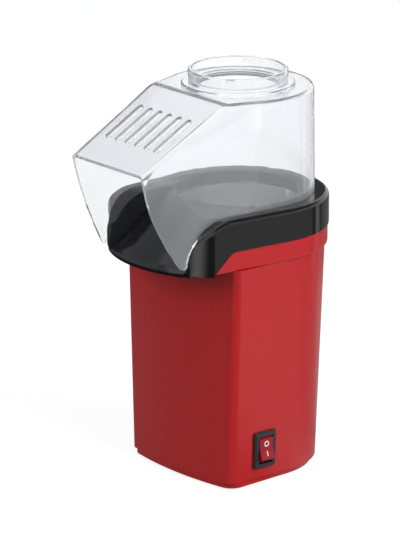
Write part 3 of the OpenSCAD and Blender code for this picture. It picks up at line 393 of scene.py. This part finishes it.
# Colour, its spread, roughness and its spread, and whatever differs from the usual.
RECIPES = {
    "red_shell": dict(colour=(0.50, 0.012, 0.015), spread=0.02, rough=0.26, rough_spread=0.03,
                      bump=0.02),
    "black_gloss": dict(colour=(0.009, 0.009, 0.010), spread=0.10, rough=0.085,
                        rough_spread=0.02, bump=0.015),
    "black_satin": dict(colour=(0.022, 0.022, 0.024), spread=0.10, rough=0.42, bump=0.12),
    "rubber": dict(colour=(0.03, 0.03, 0.032), spread=0.12, rough=0.7, rough_spread=0.08,
                   bump=0.3),
    "steel": dict(colour=(0.68, 0.69, 0.71), metallic=1, grain=1400),
    "sheet_steel": dict(colour=(0.6, 0.61, 0.63), spread=0.08, rough=0.36, rough_spread=0.1,
                        wide=25, metallic=1, stretch=(1, 1, 14)),
    "aluminium": dict(colour=(0.8, 0.81, 0.82), spread=0.03, rough=0.34, rough_spread=0.04,
                      wide=22, metallic=1, stretch=(1, 1, 9)),
    "mica": dict(colour=(0.62, 0.57, 0.48), spread=0.18, rough=0.45, rough_spread=0.12,
                 wide=160, bump=0.4),
    "nichrome": dict(colour=(0.42, 0.38, 0.35), spread=0.22, rough=0.4, rough_spread=0.1,
                     wide=90, metallic=1),
    "ferrite": dict(colour=(0.08, 0.08, 0.09), spread=0.15, rough=0.6, rough_spread=0.08,
                    bump=0.4, grain=1800),
    "cream_plastic": dict(colour=(0.78, 0.74, 0.64), spread=0.04, rough=0.45, bump=0.1),
    "brass": dict(colour=(0.78, 0.6, 0.28), spread=0.08, rough_spread=0.08, wide=60,
                  metallic=1),
    "copper_core": dict(colour=(0.62, 0.32, 0.16), spread=0.2, rough=0.35, rough_spread=0.1,
                        wide=120, metallic=1, stretch=(1, 1, 9), bump=0.5, grain=500),
    "circuit_board": dict(colour=(0.05, 0.2, 0.1), spread=0.15, rough=0.4, rough_spread=0.08,
                          wide=200),
    "red_switch": dict(colour=(0.33, 0.008, 0.018), spread=0.04, rough=0.2, rough_spread=0.04,
                       bump=0.02, specular=0.3),
}
FINISHES = {name: finish(name, **recipe) for name, recipe in RECIPES.items()}
print("opaque finishes:", len(FINISHES))

# %% [markdown]
# ## The clear hood's finish
# Clear moulded plastic bends light like glass, tints it slightly, and lets the lamps through to
# what is inside.  Along its thick edges, where rays bend many times, the grey is painted shade in
# place of the light that further bends would bring.  Rays on their way to a lamp pass straight
# through, so that the chute under the hood isn't in a black shadow.

# %% Make the clear finish
DEEPEST_BEND = 4
# Painted shade: the grey given to rays cut short after DEEPEST_BEND bends, which draws the hood's
# thick edges.
EDGE_SHADE_TINT = (0.70, 0.74, 0.79, 1)
SHADOW_TINT = (0.93, 0.94, 0.95, 1)
PLASTIC_IOR = 1.45


def clear_finish(name, colour, rough, haze):
    """Principled glass with a share of haze; shadow rays go straight on, and so do rays bent
    more than DEEPEST_BEND times, darkened by the edge tint: painted shade along the thick edges."""
    mat = finish(name, colour, 0.01, rough, rough * 0.5, bump=0.02)
    nt = mat.node_tree
    shader, out = nt.nodes["Principled BSDF"], nt.nodes["Material Output"]
    shader.inputs["Transmission Weight"].default_value = 1 - haze
    shader.inputs["IOR"].default_value = PLASTIC_IOR
    path = add_node(nt, "LightPath")
    deep = add_node(nt, "Math", "GREATER_THAN")
    deep.inputs[1].default_value = DEEPEST_BEND + 0.5
    # Painted edge shade for rays bent too often.
    edge = add_node(nt, "BsdfTransparent", Color=EDGE_SHADE_TINT)
    through = add_node(nt, "BsdfTransparent", Color=SHADOW_TINT)
    by_depth, by_shadow = add_node(nt, "MixShader"), add_node(nt, "MixShader")
    nt.links.new(path.outputs["Ray Depth"], deep.inputs[0])
    nt.links.new(deep.outputs[0], by_depth.inputs["Fac"])
    nt.links.new(shader.outputs[0], by_depth.inputs[1])
    nt.links.new(edge.outputs[0], by_depth.inputs[2])
    nt.links.new(path.outputs["Is Shadow Ray"], by_shadow.inputs["Fac"])
    nt.links.new(by_depth.outputs[0], by_shadow.inputs[1])
    nt.links.new(through.outputs[0], by_shadow.inputs[2])
    nt.links.new(by_shadow.outputs[0], out.inputs["Surface"])
    return mat


FINISHES["clear_hood"] = clear_finish("clear_hood", (0.935, 0.94, 0.958), rough=0.02, haze=0.075)
print("all finishes:", len(FINISHES))

# %% [markdown]
# ## Which finish each node takes
# Each node of the frame already names its material slot, so one pass gives every node the
# finish of that slot.

# %% Dress the frame's own nodes
def slot_name(material):
    """Name of a slot without the number that an import may add to it."""
    return material.name.split(".")[0] if material else ""


for node_name, node_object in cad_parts.items():
    for place in node_object.material_slots:
        slot = slot_name(place.material)
        if slot in FINISHES:
            place.material = FINISHES[slot]

# %% [markdown]
# ## Smooth skins for moulded pieces
# The frame's meshes are loose triangles, fine for measuring but faceted in a reflection.  A
# moulded piece gets a skin: a copy whose corners are joined, whose flat facets are merged, and
# whose normals run smoothly across all edges but the sharp ones.  The pieces whose edges catch
# the light also get those edges rounded off by a few tenths of a millimetre.

# %% Make skins from the frame's nodes
MM = 0.001
SAME_CORNER = 2e-6
SHARP_EDGE = math.radians(32)


def smooth_faces(mesh):
    """Marks every face of a mesh smooth."""
    mesh.polygons.foreach_set("use_smooth", np.ones(len(mesh.polygons), bool))


def skin_of(node, body, name, round_mm=0.0, flat=0.4):
    """Copy of a node with joined corners; facets within flat degrees are merged, and edges
    over SHARP_EDGE stay sharp or are rounded by round_mm."""
    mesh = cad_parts[node].data.copy()
    bm = bmesh.new()
    bm.from_mesh(mesh)
    bmesh.ops.remove_doubles(bm, verts=bm.verts, dist=SAME_CORNER)
    bmesh.ops.dissolve_limit(bm, angle_limit=math.radians(flat), verts=bm.verts, edges=bm.edges)
    bm.to_mesh(mesh)
    bm.free()
    mesh.name = name
    smooth_faces(mesh)
    piece = bpy.data.objects.new(name, mesh)
    scene.collection.objects.link(piece)
    if round_mm:
        bevel = piece.modifiers.new("edge", "BEVEL")
        bevel.width, bevel.segments, bevel.limit_method = round_mm * MM, 2, "ANGLE"
        bevel.angle_limit = SHARP_EDGE
    else:
        mesh.set_sharp_from_angle(angle=SHARP_EDGE)
    even = piece.modifiers.new("even_normals", "WEIGHTED_NORMAL")
    even.keep_sharp = True
    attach(piece, body)
    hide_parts(node)
    print(name, "faces", len(mesh.polygons))


skin_of("body_shell", "housing", "body_skin", round_mm=0.3)
skin_of("upper_band", "housing", "band_skin")
skin_of("collar", "housing", "collar_skin", round_mm=0.4)
skin_of("hood", "lid", "hood_skin", round_mm=0.3)
skin_of("base_plate", "housing", "base_skin", round_mm=0.3)
skin_of("popping_chamber", "housing", "cup_skin", flat=0.02)
skin_of("switch_housing", "housing", "bezel_skin", round_mm=0.2)
skin_of("switch_rocker", "rocker", "rocker_skin", round_mm=0.2)
skin_of("cord_bush", "housing", "bush_skin")
skin_of("rubber_feet", "housing", "feet_skin")

# %% [markdown]
# ## Marks on the rocker
# The two halves of a switch's rocker carry the usual marks: a ring for off, a bar for on.  They
# are printed thickly enough to stand a tenth of a millimetre proud, so each is a thin closed
# body sunk a little into the rocker's face.  Both are built flat, in millimetres, as height,
# across and up, and then laid on the half of the face where they belong.

# %% Print the ring and the bar
# The rocker's pivot in metres, its lean at rest, the angle between each half of its face and
# the upright, and how far the face's middle line stands out from the pivot, in millimetres.
ROCKER_PIVOT = np.array([0.049819, 0.00305, 0.023959])
ROCKER_LEAN, HALF_LEAN = math.radians(-8.88), math.radians(9.04)
ROCKER_MIDDLE = 4.7
# Each mark's distance from that middle line, and the profile of its edge as inset and height.
RING_UP, BAR_UP = 3.25, -3.2
MARK_EDGE = np.array([[0.0, -0.12], [0.0, 0.07], [0.07, 0.12]])
MARK_SHARP = math.radians(35)


def turned(points, angle):
    """Points turned about Y: x' = x cos + z sin, z' = z cos - x sin."""
    x, y, z = points[..., 0], points[..., 1], points[..., 2]
    return np.stack([x * math.cos(angle) + z * math.sin(angle), y,
                     z * math.cos(angle) - x * math.sin(angle)], -1)


def on_rocker(points, up):
    """Places flat millimetre points on the rocker's face, up mm above its middle line."""
    laid = turned(points, HALF_LEAN * np.sign(up))
    laid = laid + np.array([ROCKER_MIDDLE + math.tan(HALF_LEAN) * abs(up), 0, up])
    return turned(laid, ROCKER_LEAN) * MM + ROCKER_PIVOT


def grid_faces(rows, columns, wrap_rows):
    """Quads of a grid whose columns close on themselves; its rows too where wrap_rows is true."""
    i, j = np.meshgrid(np.arange(rows if wrap_rows else rows - 1), np.arange(columns),
                       indexing="ij")
    k, m = (i + 1) % rows, (j + 1) % columns
    return np.stack([i * columns + j, i * columns + m, k * columns + m, k * columns + j],
                    -1).reshape(-1, 4).tolist()


def off_ring(outer=1.95, inner=1.15, turns=56):
    """Ring: the profile across its band, carried round a circle."""
    rim = np.concatenate([np.stack([outer - MARK_EDGE[:, 0], MARK_EDGE[:, 1]], 1),
                          np.stack([inner + MARK_EDGE[:, 0], MARK_EDGE[:, 1]], 1)[::-1]])
    a = np.linspace(0, 2 * np.pi, turns, endpoint=False)
    r, h = rim[:, :1], rim[:, 1:]
    flat = np.stack(np.broadcast_arrays(h, r * np.cos(a), r * np.sin(a)), -1)
    return on_rocker(flat, RING_UP), grid_faces(len(rim), turns, True)


def on_bar(width=0.72, height=3.3, half_turn=10):
    """Bar: a round-ended outline, drawn in by the edge's inset as it rises, closed flat."""
    a = np.linspace(0, np.pi, half_turn)
    inset, h = MARK_EDGE[:, :1], MARK_EDGE[:, 1:]
    r = width / 2 - inset
    lift = (height - width) / 2
    y = np.concatenate([r * np.cos(a), -r * np.cos(a)], 1)
    z = np.concatenate([lift + r * np.sin(a), -lift - r * np.sin(a)], 1)
    flat = np.stack([np.broadcast_to(h, y.shape), y, z], -1)
    count, last = y.shape[1], (len(MARK_EDGE) - 1) * y.shape[1]
    caps = [list(range(count)), list(range(last, last + count))]
    return on_rocker(flat, BAR_UP), grid_faces(len(MARK_EDGE), count, False) + caps


def print_mark(name, shape, material):
    """Mark from its points and faces: smooth, sharp past MARK_SHARP, faces outwards."""
    piece = mesh_object(name, *shape, material)
    mesh = piece.data
    bm = bmesh.new()
    bm.from_mesh(mesh)
    bmesh.ops.recalc_face_normals(bm, faces=bm.faces)
    bm.to_mesh(mesh)
    bm.free()
    smooth_faces(mesh)
    mesh.set_sharp_from_angle(angle=MARK_SHARP)
    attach(piece, "rocker")
    print(name, "faces", len(mesh.polygons))


paint = finish("mark_paint", (0.86, 0.80, 0.79), spread=0.02, rough=0.4, rough_spread=0.05)
print_mark("off_mark", off_ring(), paint)
print_mark("on_mark", on_bar(), paint)
